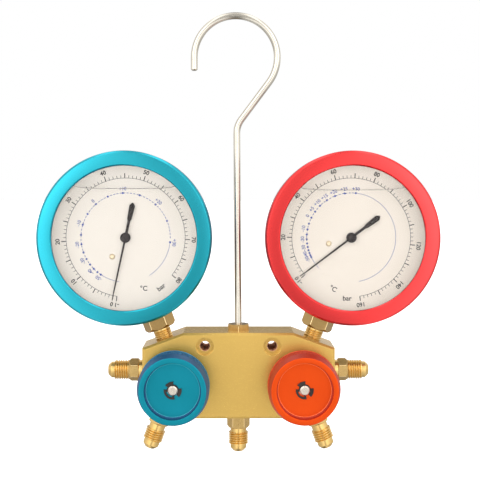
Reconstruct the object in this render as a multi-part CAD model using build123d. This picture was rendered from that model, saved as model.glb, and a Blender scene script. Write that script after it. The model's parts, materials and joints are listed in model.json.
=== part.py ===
from build123d import *
import math
import os

os.makedirs("parts", exist_ok=True)

# Two-valve refrigerant manifold with two liquid-filled pressure gauges and a hanging hook.
# Millimetres. +Z is up, +X to the right of someone who reads the dials, who looks along +Y.
# Origin: midway between the two mounting holes, on the manifold block's back face.

# Manifold block
block_width = 108.6
block_depth = 30.0
block_height = 48.4
block_flat = 62.0            # level part of the top and bottom edges, between the slanted corners
corner_slant = 20.0          # degrees, on all four corners
block_chamfer = 1.3
hole_spacing = 38.0
hole_height = 40.8           # of the mounting holes above the block's underside
hole_radius = 2.75
counterbore_radius = 5.0
counterbore_depth = 3.0

# Threaded stations round the block's edge, all at half its depth
side_port_height = 25.4      # above the block's underside
tapping_depth = 9.0
tapping_radius = 4.86
passage_radius = 2.4

# Flare ports, 1/4 in SAE male: 7/16-20 thread
port_hex = 11.5
port_shank_radius = 4.82
flare_thread_radius = 5.555
flare_nose_radius = 4.63
flare_tip_radius = 2.75
port_bore_radius = 2.4

# Hook
wire_radius = 2.0
hook_loop_radius = 23.8
hook_loop_x = -1.5
hook_loop_height = 156.5     # loop centre above the block's top
hook_bend_x = -0.95
hook_bend_height = 117.4     # bend above the block's top
hook_bend_radius = 13.0
hook_end_drop = 7.6          # straight run down from the loop to the rounded end
hook_socket_depth = 8.0
hook_socket_radius = 2.2     # brazed: room for the wire's slight lean
bush_hex = 12.0
bush_height = 3.5

# Valves
valve_x = 35.85
valve_height = 20.1          # above the block's underside
bonnet_hex = 17.0
bonnet_head = 4.0
bonnet_radius = 6.95
bonnet_length = 8.5
chamber_radius = 5.0
chamber_depth = 20.0
stem_radius = 4.0
running_clearance = 0.05
knob_radius = 19.8
knob_face_radius = 18.4
knob_front = 24.0            # knob's front face, ahead of the block's front face
knob_back = 6.5
knob_recess_radius = 15.3
knob_recess_depth = 4.5
knob_hub_back = 8.5
spigot_radius = 2.7
spigot_proud = 2.0           # stem end ahead of the recess floor
clip_thickness = 0.7
clip_radius = 4.85
clip_ring_radius = 3.3
clip_window_radius = 3.7
clip_groove_radius = 2.15

# Gauges, DN80. Depths are measured back from the bezel's front face
gauge_reach = 61.6           # from the slanted face to the dial's centre
gauge_ahead = 6.0            # bezel's front face, ahead of the block's front face
bezel_radius = 48.85
bezel_depth = 12.6
window_view_radius = 40.4
window_radius = 44.0
window_front = 2.6
window_thickness = 4.0
case_front = 8.7
case_flange_radius = 46.35
case_radius = 45.0
case_wall = 1.8
case_back = 33.0
dial_radius = 42.4
dial_front = 11.5
dial_thickness = 0.6
dial_screw_reach = 13.1
dial_screw_angle = 55.0      # clockwise from the socket, seen from the front
neck_radius = 5.14
neck_length = 5.6
gauge_hex = 16.0
socket_axis_depth = 21.0
plug_depth = 22.0

# Gauge movement, seen from the front: u to the right, v away from the socket
module_size = 0.3
pinion_teeth = 12
sector_full_teeth = 108
sector_cut_teeth = 16
tooth_backlash = 0.05
profile_shift = 0.3
pressure_angle = 20.0
sector_sweep = 33.2          # degrees, zero to full scale
tail_radius = 6.5
tail_mid_angle = -59.0       # degrees from +u, half-way through the sweep
tube_radius = 27.5
tube_width = 9.0
tube_thickness = 3.2
tube_tip_angle = -32.0
front_plate = (13.2, 14.2)   # front and back depth of each layer
sector_layer = (14.6, 15.8)
link_layer = (16.1, 16.6)
back_plate = (17.0, 18.0)
tube_layer = (18.2, 27.2)
pivot_radius = 0.9

# Worked out from the above
top_z = block_height - hole_height
bottom_z = -hole_height
front_y = -block_depth
middle_y = -block_depth / 2
half_width = block_width / 2
half_flat = block_flat / 2
slant_run = half_width - half_flat
slant_drop = slant_run * math.tan(math.radians(corner_slant))
slant_middle_x = (half_width + half_flat) / 2


def save(name, shape):
    """Write one node's STEP file."""
    export_step(shape, f"parts/{name}.step")


def turned(profile):
    """Solid of revolution about Y from (radius, depth) points."""
    return revolve(make_face(Polyline(*profile, close=True)), Axis.Y)


def turned_up(profile):
    """Solid of revolution about Z from (radius, height) points."""
    return revolve(Plane.XZ * make_face(Polyline(*profile, close=True)), Axis.Z)


def plate(outline, front, back):
    """Flat piece cut from a front-view outline, between two depths along Y."""
    return extrude(Plane.XZ.offset(-back) * outline, amount=back - front)


def drill_y(radius, front, back, x=0.0, z=0.0):
    """Round cutter along Y."""
    return plate(Pos(x, z) * Circle(radius), front, back)


def drill_z(radius, low, high):
    """Round cutter along Z."""
    return Pos(0, 0, low) * extrude(Circle(radius), amount=high - low)


def hexagon(across_flats):
    """Hexagon with one pair of flats across its second axis."""
    return RegularPolygon(across_flats / 2, 6, major_radius=False)


def polar(radius, degrees):
    """Point on a circle, degrees from the first axis."""
    angle = math.radians(degrees)
    return radius * math.cos(angle), radius * math.sin(angle)


def ring_part(inner, outer, start, end):
    """Part of a flat ring between two angles, degrees from the first axis."""
    steps = math.ceil((end - start) / 60)
    rays = [polar(2 * outer, start + (end - start) * step / steps) for step in range(steps + 1)]
    return (Circle(outer) - Circle(inner)) & make_face(Polyline((0, 0), *rays, close=True))


def station(x, z, outward):
    """Place on the block's edge. Local +Z points outward, turned from +Z towards +X."""
    return Location((x, middle_y, z), (0, outward, 0))


# ---------------------------------------------------------------- stations on the block's edge

slant_top_z = top_z - slant_drop / 2
slant_low_z = bottom_z + slant_drop / 2
stations = {
    "hook": station(0, top_z, 0),
    "left_gauge": station(-slant_middle_x, slant_top_z, -corner_slant),
    "right_gauge": station(slant_middle_x, slant_top_z, corner_slant),
    "left_side": station(-half_width, bottom_z + side_port_height, -90),
    "right_side": station(half_width, bottom_z + side_port_height, 90),
    "left_low": station(-slant_middle_x, slant_low_z, corner_slant - 180),
    "right_low": station(slant_middle_x, slant_low_z, 180 - corner_slant),
    "centre_low": station(0, bottom_z, 180),
}
valve_z = bottom_z + valve_height


# ---------------------------------------------------------------- manifold block

def make_block():
    corners = [
        (half_flat, top_z), (half_width, top_z - slant_drop),
        (half_width, bottom_z + slant_drop), (half_flat, bottom_z),
        (-half_flat, bottom_z), (-half_width, bottom_z + slant_drop),
        (-half_width, top_z - slant_drop), (-half_flat, top_z),
    ]
    body = plate(make_face(Polyline(*corners, close=True)), -block_depth, 0)
    rims = body.faces().sort_by(Axis.Y)
    body = chamfer(rims[0].edges() + rims[-1].edges(), block_chamfer)

    for x in (-hole_spacing / 2, hole_spacing / 2):
        body -= drill_y(hole_radius, -block_depth - 1, 1, x)
        body -= drill_y(counterbore_radius, -block_depth - 1, front_y + counterbore_depth, x)

    # Valve bores from the front, and the seat orifice behind each
    for x in (-valve_x, valve_x):
        body -= drill_y(bonnet_radius + running_clearance, front_y - 1, front_y + 9.0, x, valve_z)
        body -= drill_y(chamber_radius, front_y, front_y + chamber_depth, x, valve_z)
        body -= drill_y(passage_radius, front_y, front_y + 25.0, x, valve_z)

    # Tapped holes, and passages that lead from them into the valve chambers
    reach = {"left_gauge": 24.0, "right_gauge": 24.0, "left_low": 16.0, "right_low": 16.0,
             "left_side": 16.0, "right_side": 16.0, "centre_low": 22.4}
    for name, length in reach.items():
        body -= stations[name] * drill_z(tapping_radius, -tapping_depth, 1)
        body -= stations[name] * drill_z(passage_radius, -length, 0)
    body -= stations["hook"] * drill_z(hook_socket_radius, -hook_socket_depth, 1)

    # Gallery that joins both seat orifices to the centre port
    gallery_y = front_y + 23.5
    gallery = Pos(0, gallery_y, valve_z) * Rot(0, 90, 0) * Cylinder(2.0, 2 * valve_x)
    body -= gallery
    body -= drill_y(2.0, middle_y, gallery_y, 0, valve_z)
    return body


save("manifold_block", make_block())


# ---------------------------------------------------------------- flare ports

def make_port(collar, hex_length, neck, thread, nose):
    """Flare adaptor along +Z, with its shoulder on the block at z = 0."""
    hex_end = collar + hex_length
    thread_start = hex_end + neck
    thread_end = thread_start + thread
    tip = thread_end + nose
    cone = flare_nose_radius - flare_tip_radius
    rounds = [
        (0, -tapping_depth + 1), (port_shank_radius, -tapping_depth + 1), (port_shank_radius, 0),
        (5.6, 0), (5.6, collar + 0.2), (flare_nose_radius, collar + 0.2),
        (flare_nose_radius, thread_start), (flare_thread_radius - 0.5, thread_start),
        (flare_thread_radius, thread_start + 0.4), (flare_thread_radius, thread_end - 0.6),
        (flare_nose_radius, thread_end), (flare_nose_radius, tip - cone),
        (flare_tip_radius, tip), (0, tip),
    ]
    corner = port_hex / math.sqrt(3)
    envelope = [(0, hex_end), (port_hex / 2 - 0.3, hex_end), (corner, hex_end - 1.3)]
    if collar:
        envelope += [(corner, collar + 0.5), (corner - 0.7, collar), (0, collar)]
    else:
        envelope += [(corner, 0), (0, 0)]
    prism = Pos(0, 0, collar) * extrude(hexagon(port_hex), amount=hex_length)
    body = turned_up(rounds) + (prism & turned_up(envelope))
    return body - drill_z(port_bore_radius, -tapping_depth, tip + 1)


side_port = make_port(collar=2.7, hex_length=5.6, neck=0.3, thread=7.9, nose=4.0)
low_port = make_port(collar=2.5, hex_length=8.0, neck=3.6, thread=6.1, nose=5.1)
centre_port = make_port(collar=0.0, hex_length=7.9, neck=2.7, thread=6.4, nose=4.5)

save("left_side_port", stations["left_side"] * side_port)
save("right_side_port", stations["right_side"] * side_port)
save("left_lower_port", stations["left_low"] * low_port)
save("right_lower_port", stations["right_low"] * low_port)
save("centre_port", stations["centre_low"] * centre_port)


# ---------------------------------------------------------------- hook

def make_hook():
    """Wire from the block's top, bent over to the right and back round in a loop."""
    foot = Vector(0, 0, 0.03 - hook_socket_depth)
    bend = Vector(hook_bend_x, 0, hook_bend_height)
    centre = Vector(hook_loop_x, 0, hook_loop_height)
    to_centre = centre - bend
    distance = to_centre.length
    lean = math.degrees(math.atan2(to_centre.X, to_centre.Z))
    half_angle = math.degrees(math.asin(hook_loop_radius / distance))
    run = lean + half_angle                       # the slanted run, clockwise from upright
    touch = centre + Vector(math.cos(math.radians(run)), 0, -math.sin(math.radians(run))) * hook_loop_radius
    crown = centre + Vector(0, 0, hook_loop_radius)
    outer = centre + Vector(-hook_loop_radius, 0, 0)
    end = outer + Vector(0, 0, -hook_end_drop)

    stalk = FilletPolyline(foot, bend, touch, radius=hook_bend_radius)
    loop = ThreePointArc(touch, centre + (crown - centre).rotate(Axis.Y, (90 + run) / 2), crown)
    over = ThreePointArc(crown, centre + (crown - centre).rotate(Axis.Y, -45), outer)
    drop = Line(outer, end)
    path = stalk + loop + over + drop
    wire = sweep(Plane(foot, z_dir=(bend - foot)) * Circle(wire_radius), path=path)
    tip = wire.faces().sort_by(Axis.X)
    tip = [face for face in tip if abs(face.center().Z - end.Z) < 0.1 and abs(face.center().X - end.X) < 0.1]
    return chamfer(tip[0].edges(), 0.7)


save("hook_rod", stations["hook"] * make_hook())

bush_corner = bush_hex / math.sqrt(3)
bush = Rot(0, 0, 30) * extrude(hexagon(bush_hex), amount=bush_height)
bush = bush & turned_up([
    (0, 0), (bush_corner, 0), (bush_corner, bush_height - 0.5), (bush_hex / 2 - 0.1, bush_height),
    (0, bush_height),
])
bush -= drill_z(hook_socket_radius, -1, bush_height + 1)
save("hook_bush", stations["hook"] * bush)


# ---------------------------------------------------------------- valves
# Depths along Y from the block's front face: minus is towards the hand, plus is into the block.

def make_bonnet():
    corner = bonnet_hex / math.sqrt(3)
    head = plate(hexagon(bonnet_hex), -bonnet_head, 0)
    head = head & turned([
        (0, -bonnet_head), (bonnet_hex / 2, -bonnet_head), (corner, -bonnet_head + 0.8), (corner, 0), (0, 0),
    ])
    shank = turned([
        (0, -0.1), (bonnet_radius, -0.1), (bonnet_radius, 5.8), (5.75, 5.8), (5.75, 7.4),
        (bonnet_radius, 7.4), (bonnet_radius, bonnet_length), (0, bonnet_length),
    ])
    return head + shank - drill_y(stem_radius + running_clearance, -10, 10)


def make_stem():
    floor = -(knob_front - knob_recess_depth)
    end = floor - spigot_proud
    clip_front = floor - clip_thickness
    body = turned([
        (0, end), (spigot_radius - 0.6, end), (spigot_radius, end + 0.5), (spigot_radius, clip_front),
        (clip_groove_radius, clip_front), (clip_groove_radius, floor), (3.0, floor),
        (3.0, -knob_hub_back), (stem_radius, -knob_hub_back), (stem_radius, 3.8), (2.9, 3.8),
        (2.9, 5.5), (stem_radius, 5.5), (stem_radius, 11.0), (1.6, 11.0), (1.6, 13.0), (2.6, 13.0),
        (2.6, 14.3), (0, 14.3),
    ])
    flat = plate(Rectangle(8, 2), floor, -knob_hub_back)
    return body - Pos(0, 0, 3.5) * flat - Pos(0, 0, -3.5) * flat


def make_knob():
    front = -knob_front
    floor = front + knob_recess_depth
    body = turned([
        (0, floor), (knob_recess_radius - 0.75, floor), (knob_recess_radius, floor - 0.75),
        (knob_recess_radius, front + 0.5), (knob_recess_radius + 0.5, front), (knob_face_radius - 0.4, front),
        (knob_face_radius, front + 0.4), (knob_face_radius + 0.3, front + 2.4), (knob_radius, front + 3.0),
        (knob_radius, -knob_back - 0.8), (knob_radius - 0.8, -knob_back), (15.0, -knob_back),
        (15.0, -knob_back - 7.0), (8.0, -knob_back - 7.0), (8.0, -knob_hub_back), (0, -knob_hub_back),
    ])
    bore = Circle(3.0 + running_clearance) & Rectangle(8, 5.0 + 2 * running_clearance)
    return body - plate(bore, floor - 1, 0)


def make_clip():
    """Retaining clip: a ring with two solid lobes and a bowed one that has a window behind it."""
    inner = clip_groove_radius + 0.02
    outline = ring_part(inner, clip_ring_radius, -47, 192)
    outline += ring_part(inner, clip_radius, 86, 146)
    outline += ring_part(inner, clip_radius, -47, 15)
    outline += ring_part(clip_ring_radius - 0.1, clip_radius, 173, 192)
    outline += ring_part(clip_window_radius, clip_radius, 180, 275)
    outline += ring_part(inner, clip_radius, 264, 283)
    floor = -(knob_front - knob_recess_depth)
    return plate(outline, floor - clip_thickness, floor)


def make_plunger():
    """Seat holder: hexagonal so that refrigerant passes it, crimped over the stem's head."""
    body = plate(hexagon(8.4), 12.3, 18.6) & turned([(0, 12.3), (4.9, 12.3), (4.9, 18.6), (0, 18.6)])
    body -= turned([(0, 12.2), (1.75, 12.2), (1.75, 12.85), (2.75, 12.85), (2.75, 14.5), (0, 14.5)])
    return body - drill_y(3.3, 17.6, 18.7)


stem_seal_profile = [(2.92, 3.95), (3.75, 3.95), (4.02, 4.25), (4.02, 5.05), (3.75, 5.35), (2.92, 5.35)]
bonnet_seal_profile = [(5.77, 5.9), (6.7, 5.9), (7.0, 6.2), (7.0, 7.0), (6.7, 7.3), (5.77, 7.3)]
for side, prefix in ((-1, "low"), (1, "high")):
    valve = Pos(side * valve_x, front_y, valve_z)
    save(f"{prefix}_valve_bonnet", valve * make_bonnet())
    save(f"{prefix}_valve_bonnet_seal", valve * turned(bonnet_seal_profile))
    save(f"{prefix}_valve_stem", valve * make_stem())
    save(f"{prefix}_valve_stem_seal", valve * turned(stem_seal_profile))
    save(f"{prefix}_valve_plunger", valve * make_plunger())
    save(f"{prefix}_valve_seat_disc", valve * turned([(0, 17.6), (3.28, 17.6), (3.28, 19.9), (0, 19.9)]))
    save(f"{prefix}_valve_knob", valve * make_knob())
    save(f"{prefix}_valve_clip", valve * make_clip())


# ---------------------------------------------------------------- gauge movement

def involute_flank(teeth, shift, steps=4):
    """Half tooth: (radius, half angle) pairs in radians from root to tip of an involute tooth."""
    pitch = module_size * teeth / 2
    base = pitch * math.cos(math.radians(pressure_angle))
    tip = pitch + module_size * (0.95 + shift)
    root = pitch - module_size * (1.25 - shift)
    pressure = math.radians(pressure_angle)
    half_pitch = (math.pi / 2 + 2 * shift * math.tan(pressure)) / teeth - tooth_backlash / 2 / pitch
    at_base = half_pitch + math.tan(pressure) - pressure
    start = max(base, root)
    pairs = [(root, at_base)] if root < base else []
    for step in range(steps):
        radius = start + (tip - start) * step / (steps - 1)
        roll = math.acos(min(1.0, base / radius))
        pairs.append((radius, at_base - (math.tan(roll) - roll)))
    return pairs


def toothed_rim(teeth, shift, first, count, aim):
    """Points round a run of teeth, counterclockwise. aim is the direction of tooth 0's middle, degrees."""
    flank = involute_flank(teeth, shift)
    points = []
    for number in range(first, first + count):
        middle = math.radians(aim + 360.0 * number / teeth)
        for radius, half in flank:
            points.append((radius * math.cos(middle - half), radius * math.sin(middle - half)))
        for radius, half in reversed(flank):
            points.append((radius * math.cos(middle + half), radius * math.sin(middle + half)))
    return points


centre_distance = module_size * (pinion_teeth + sector_full_teeth) / 2


def make_pinion():
    """Pinion on its arbor, at the dial's centre. A tooth space faces the sector at rest."""
    aim = -90 + 180.0 / pinion_teeth
    teeth = make_face(Polyline(*toothed_rim(pinion_teeth, profile_shift, 0, pinion_teeth, aim), close=True))
    leaves = plate(teeth, sector_layer[0] - 0.15, sector_layer[1] + 0.15)
    arbor = turned([
        (0, 8.6), (0.7, 8.6), (pivot_radius, 8.9), (pivot_radius, 12.35), (1.3, 12.35), (1.3, 13.0),
        (pivot_radius, 13.0), (pivot_radius, back_plate[1] - 0.1), (0, back_plate[1] - 0.1),
    ])
    return leaves + arbor


def make_sector():
    """Sector gear with its tail, pivot and tail pin, about its own pivot, at rest."""
    turn_mid = -sector_sweep / 2                  # it stands this far clockwise of its middle place
    tooth_angle = 360.0 / sector_full_teeth
    # tooth 0 fills the pinion's space straight above the pivot at rest
    last = sector_cut_teeth - 3
    rim = toothed_rim(sector_full_teeth, -profile_shift, -last, sector_cut_teeth, 90)
    middle = 90 + turn_mid
    inner = 12.6
    low_angle = 90 - (last + 0.5) * tooth_angle
    high_angle = 90 + (sector_cut_teeth - last - 0.5) * tooth_angle
    inside = [polar(inner, angle) for angle in (high_angle, (low_angle + high_angle) / 2, low_angle)]
    outline = make_face(Polyline(*rim, *inside, close=True))
    arm = make_face(Polyline(
        polar(2.6, middle + 60), polar(13.2, middle + 12), polar(13.2, middle - 12), polar(2.6, middle - 60),
        close=True,
    ))
    slot = make_hull([
        *(Rot(0, 0, middle) * Pos(5.6, 0) * Circle(0.8)).edges(),
        *(Rot(0, 0, middle) * Pos(10.6, 0) * Circle(1.5)).edges(),
    ])
    tail_angle = tail_mid_angle + turn_mid
    tail = make_hull([*Circle(2.6).edges(), *(Pos(*polar(tail_radius, tail_angle)) * Circle(1.2)).edges()])
    body = plate(outline + arm + tail + Circle(3.0) - slot, *sector_layer)
    body += drill_y(pivot_radius, front_plate[0] + 0.1, back_plate[1] - 0.1)
    pin_x, pin_z = polar(tail_radius, tail_angle)
    return body + drill_y(0.5, sector_layer[1] - 0.1, link_layer[1] + 0.15, pin_x, pin_z)


tip_pivot = polar(24.0, tube_tip_angle - 3)
sector_pivot = (0.0, -centre_distance)
tail_offset = polar(tail_radius, tail_mid_angle - sector_sweep / 2)
tail_pin = (sector_pivot[0] + tail_offset[0], sector_pivot[1] + tail_offset[1])


def make_link():
    """Link from the sector's tail to the tube's tip, with a rivet head at the tip end."""
    eyes = [*(Pos(*tail_pin) * Circle(1.25)).edges(), *(Pos(*tip_pivot) * Circle(1.25)).edges()]
    body = plate(make_hull(eyes), *link_layer)
    body -= drill_y(0.55, link_layer[0] - 1, link_layer[1] + 1, *tail_pin)
    return body + drill_y(0.9, link_layer[0] - 0.5, link_layer[0] + 0.1, *tip_pivot)


def make_tube():
    """Flattened tube bent to a C, with the end piece and ear that the link hangs on."""
    half = tube_thickness / 2
    front, back = tube_layer
    section = [
        (tube_radius - half, front + 1.2), (tube_radius - 0.6, front), (tube_radius + 0.6, front),
        (tube_radius + half, front + 1.2), (tube_radius + half, back - 1.2), (tube_radius + 0.6, back),
        (tube_radius - 0.6, back), (tube_radius - half, back - 1.2),
    ]
    start = -90.0
    sweep_angle = 360 - (tube_tip_angle - start)
    tube = revolve(make_face(Polyline(*section, close=True)), Axis.Y, revolution_arc=sweep_angle)
    tube = Rot(0, -tube_tip_angle, 0) * tube
    cap_x, cap_z = polar(tube_radius, tube_tip_angle - 3.2)
    cap = Pos(cap_x, (front + back) / 2, cap_z) * Rot(0, -(tube_tip_angle - 3.2), 0)
    cap = cap * Box(5.0, tube_width, 3.6)
    ear = make_hull([*(Pos(*tip_pivot) * Circle(1.8)).edges(), *(Pos(cap_x, cap_z) * Circle(1.6)).edges()])
    ear = plate(ear, link_layer[1] + 0.4, front + 1.2)
    return tube + cap + ear


pillars = ((-9.5, -22.0), (9.0, -26.5), (0.0, 7.0))
screw_place = polar(dial_screw_reach, -90 - dial_screw_angle)


def make_back_plate():
    outline = make_hull([edge for x, z in pillars for edge in (Pos(x, z) * Circle(3.2)).edges()])
    body = plate(outline, *back_plate)
    for x, z in pillars:
        body += drill_y(1.6, front_plate[1], back_plate[0], x, z)
    for x, z in ((0.0, 0.0), sector_pivot):
        body -= drill_y(pivot_radius + running_clearance, back_plate[0] - 1, back_plate[1] + 1, x, z)
    return body


def make_front_plate():
    places = [*pillars, screw_place]
    outline = make_hull([edge for x, z in places for edge in (Pos(x, z) * Circle(2.6)).edges()])
    body = plate(outline, *front_plate)
    body += drill_y(2.0, dial_front + dial_thickness, front_plate[0], *screw_place)
    for x, z in ((0.0, 0.0), sector_pivot):
        body -= drill_y(pivot_radius + running_clearance, front_plate[0] - 1, front_plate[1] + 1, x, z)
    return body - drill_y(0.95, dial_front, front_plate[1] + 1, *screw_place)


def make_hairspring():
    """Flat spiral between dial and movement, fixed at its outer end to a stud on the front plate."""
    turns = 3
    first, step = 2.2, 0.95
    path = None
    for half_turn in range(2 * turns):
        radius = first + step * half_turn / 2
        next_radius = first + step * (half_turn + 1) / 2
        sign = 1 if half_turn % 2 == 0 else -1
        arc = ThreePointArc(
            (sign * radius, 0), (sign * (radius - next_radius) / 2, sign * (radius + next_radius) / 2),
            (-sign * next_radius, 0),
        )
        path = arc if path is None else path + arc
    coil = plate(trace(path, 0.25), 12.45, 12.95)
    last = first + step * turns
    return coil + drill_y(0.6, 12.4, front_plate[0], last, 0)


def make_pointer(direction):
    """Needle, hub and spade-shaped tail. direction is degrees from +u to the needle's point."""
    needle = make_face(Polyline(
        (0, 0.55), (30, 0.38), (36, 0.1), (36, -0.1), (30, -0.38), (0, -0.55), close=True,
    ))
    tail = make_face(Polyline(
        (0, 0.8), (-9.5, 0.8), (-11.0, 1.6), (-17.5, 1.6), (-20.0, 0.0), (-17.5, -1.6), (-11.0, -1.6),
        (-9.5, -0.8), (0, -0.8), close=True,
    ))
    blade = plate(Rot(0, 0, direction) * (needle + tail), 9.7, 10.1)
    hub = turned([(0, 9.0), (2.2, 9.0), (2.65, 9.4), (2.65, 10.7), (0, 10.7)])
    return blade + hub - drill_y(pivot_radius, 8, 12)


# ---------------------------------------------------------------- gauges

def make_socket():
    """Threaded neck, hexagon and the inner block that carries tube and movement."""
    face = -gauge_reach
    hex_start = face + neck_length
    hex_end = -case_radius - 0.2
    top = -22.5
    inner_width = 14.0
    inner_low = 0.2 - math.sqrt((case_radius - case_wall) ** 2 - (inner_width / 2) ** 2)
    rounds = turned_up([
        (0, face - tapping_depth + 1), (tapping_radius - 0.2, face - tapping_depth + 1),
        (tapping_radius - 0.04, face), (neck_radius, face), (neck_radius, hex_start + 0.1),
        (7.0, hex_start + 0.1), (7.0, inner_low + 0.1), (0, inner_low + 0.1),
    ])
    corner = gauge_hex / math.sqrt(3)
    envelope = turned_up([
        (0, hex_start), (gauge_hex / 2 - 0.2, hex_start), (corner, hex_start + 1.5), (corner, hex_end),
        (0, hex_end),
    ])
    prism = Pos(0, 0, hex_start) * extrude(hexagon(gauge_hex), amount=hex_end - hex_start)
    stub = Pos(0, socket_axis_depth, 0) * (rounds + (prism & envelope))
    inner = Pos(0, (top + inner_low) / 2) * Rectangle(inner_width, top - inner_low)
    inner = plate(inner, back_plate[1], 27.6)
    bore = Pos(0, socket_axis_depth, 0) * drill_z(1.6, face - tapping_depth, -30.0)
    return stub + inner - bore - make_tube()


def make_case():
    flange_back = bezel_depth + 0.2
    inner = case_radius - case_wall
    cup = turned([
        (0, case_back), (case_radius - 4.0, case_back), (case_radius - 1.2, case_back - 1.2),
        (case_radius, case_back - 4.0), (case_radius, flange_back), (case_flange_radius, flange_back),
        (case_flange_radius, case_front), (inner, case_front), (inner, case_back - 4.0),
        (inner - 2.6, case_back - case_wall), (0, case_back - case_wall),
    ])
    cup -= Pos(0, socket_axis_depth, 0) * drill_z(7.05, -case_radius - 2, 0)
    return cup - Pos(0, plug_depth, 0) * drill_z(4.05, 0, case_radius + 2)


def make_bezel():
    lip = window_front
    return turned([
        (window_view_radius, lip), (window_view_radius, 1.5), (window_view_radius + 0.9, 0.3),
        (window_view_radius + 1.6, 0), (bezel_radius - 1.9, 0), (bezel_radius - 0.6, 0.55),
        (bezel_radius, 1.9), (bezel_radius, bezel_depth - 0.7), (bezel_radius - 0.7, bezel_depth),
        (case_flange_radius + 0.1, bezel_depth), (case_flange_radius + 0.1, case_front),
        (window_radius + 0.1, case_front), (window_radius + 0.1, lip),
    ])


def make_window():
    back = window_front + window_thickness
    return turned([
        (0, window_front), (window_radius - 0.3, window_front), (window_radius, window_front + 0.3),
        (window_radius, back), (0, back),
    ])


def make_dial():
    disc = turned([
        (2.0, dial_front), (dial_radius, dial_front), (dial_radius, dial_front + dial_thickness),
        (2.0, dial_front + dial_thickness),
    ])
    return disc - drill_y(0.95, dial_front - 1, dial_front + 2, *screw_place)


def make_fill_plug():
    """Rubber filling and relief plug in the top of the case."""
    wall_in = case_radius - case_wall
    body = turned_up([
        (0, wall_in - 1.2), (4.6, wall_in - 1.2), (4.0, wall_in - 0.3), (4.0, case_radius - 0.3),
        (6.2, case_radius - 0.1), (6.2, case_radius + 1.2), (5.4, case_radius + 1.9), (0, case_radius + 1.9),
    ])
    relief = turned_up([
        (4.0, case_radius - 0.5), (6.5, case_radius - 0.5), (6.5, case_radius), (4.0, case_radius),
    ])
    return Pos(0, plug_depth, 0) * (body - relief)


gasket_front = window_front + window_thickness
gasket = turned([
    (41.4, gasket_front), (window_radius, gasket_front), (window_radius, case_front), (41.4, case_front),
])
dial_screw = turned([
    (0, 10.7), (1.2, 10.7), (1.6, 11.0), (1.6, dial_front), (0.9, dial_front), (0.9, 14.0), (0, 14.0),
])
dial_screw = Pos(screw_place[0], 0, screw_place[1]) * dial_screw
# needle at zero, degrees clockwise from the socket
zero_angle = {"low": 32.2, "high": 32.9}

for side, prefix in ((-1, "low"), (1, "high")):
    foot = stations["left_gauge" if side < 0 else "right_gauge"]
    gauge = foot * Pos(0, -block_depth / 2 - gauge_ahead, gauge_reach)
    save(f"{prefix}_gauge_socket", gauge * make_socket())
    save(f"{prefix}_gauge_case", gauge * make_case())
    save(f"{prefix}_gauge_bezel", gauge * make_bezel())
    save(f"{prefix}_gauge_window", gauge * make_window())
    save(f"{prefix}_gauge_window_gasket", gauge * gasket)
    save(f"{prefix}_gauge_dial", gauge * make_dial())
    save(f"{prefix}_gauge_dial_screw", gauge * dial_screw)
    save(f"{prefix}_gauge_pointer", gauge * make_pointer(-90 - zero_angle[prefix]))
    save(f"{prefix}_gauge_pinion", gauge * make_pinion())
    save(f"{prefix}_gauge_sector", gauge * Pos(sector_pivot[0], 0, sector_pivot[1]) * make_sector())
    save(f"{prefix}_gauge_link", gauge * make_link())
    save(f"{prefix}_gauge_bourdon_tube", gauge * make_tube())
    save(f"{prefix}_gauge_back_plate", gauge * make_back_plate())
    save(f"{prefix}_gauge_front_plate", gauge * make_front_plate())
    save(f"{prefix}_gauge_hairspring", gauge * make_hairspring())
    save(f"{prefix}_gauge_fill_plug", gauge * make_fill_plug())
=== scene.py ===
import json
import math
import bmesh
import bpy
from mathutils import Matrix, Vector


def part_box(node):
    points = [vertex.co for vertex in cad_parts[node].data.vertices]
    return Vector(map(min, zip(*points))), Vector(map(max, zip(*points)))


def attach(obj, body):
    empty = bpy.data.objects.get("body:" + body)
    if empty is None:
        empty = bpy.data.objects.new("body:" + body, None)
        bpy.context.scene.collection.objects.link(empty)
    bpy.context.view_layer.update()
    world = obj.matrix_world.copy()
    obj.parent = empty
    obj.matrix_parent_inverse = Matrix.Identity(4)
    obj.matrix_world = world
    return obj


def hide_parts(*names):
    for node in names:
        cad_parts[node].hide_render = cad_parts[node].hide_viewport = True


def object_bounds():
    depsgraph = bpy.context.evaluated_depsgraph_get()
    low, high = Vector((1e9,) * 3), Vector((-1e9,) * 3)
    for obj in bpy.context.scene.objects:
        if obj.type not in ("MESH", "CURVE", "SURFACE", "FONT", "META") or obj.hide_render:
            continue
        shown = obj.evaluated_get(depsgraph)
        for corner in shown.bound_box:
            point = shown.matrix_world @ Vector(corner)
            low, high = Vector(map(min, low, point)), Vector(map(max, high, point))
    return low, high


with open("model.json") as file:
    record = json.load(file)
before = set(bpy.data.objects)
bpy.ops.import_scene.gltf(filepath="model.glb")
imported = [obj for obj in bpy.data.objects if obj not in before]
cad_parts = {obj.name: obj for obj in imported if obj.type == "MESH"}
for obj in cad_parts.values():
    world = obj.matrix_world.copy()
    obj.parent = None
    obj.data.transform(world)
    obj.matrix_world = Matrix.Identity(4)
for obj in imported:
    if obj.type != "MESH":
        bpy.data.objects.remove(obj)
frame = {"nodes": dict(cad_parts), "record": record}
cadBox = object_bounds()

# Refrigerant manifold: gold block, two hand wheels, five flare ports, two liquid-filled gauges, wire hook.
# Sizes are in millimetres and angles in degrees; mm turns a size into metres where a mesh is made.
mm = 0.001
scene = bpy.context.scene
sides = {"low": -1, "high": 1}


# camera

cameraSetup = {
    "place": (-3.264, -596.26, 89.32),
    "down": 1.257,  # tilt below the horizon
    "right": 0.412,  # turn to the right of straight ahead
    "lens": 75.797,
    "sensor": 36.0,
    "lensShift": -0.0625,  # keeps uprights upright although the set hangs low
    "nearest": 10.0,
}


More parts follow.
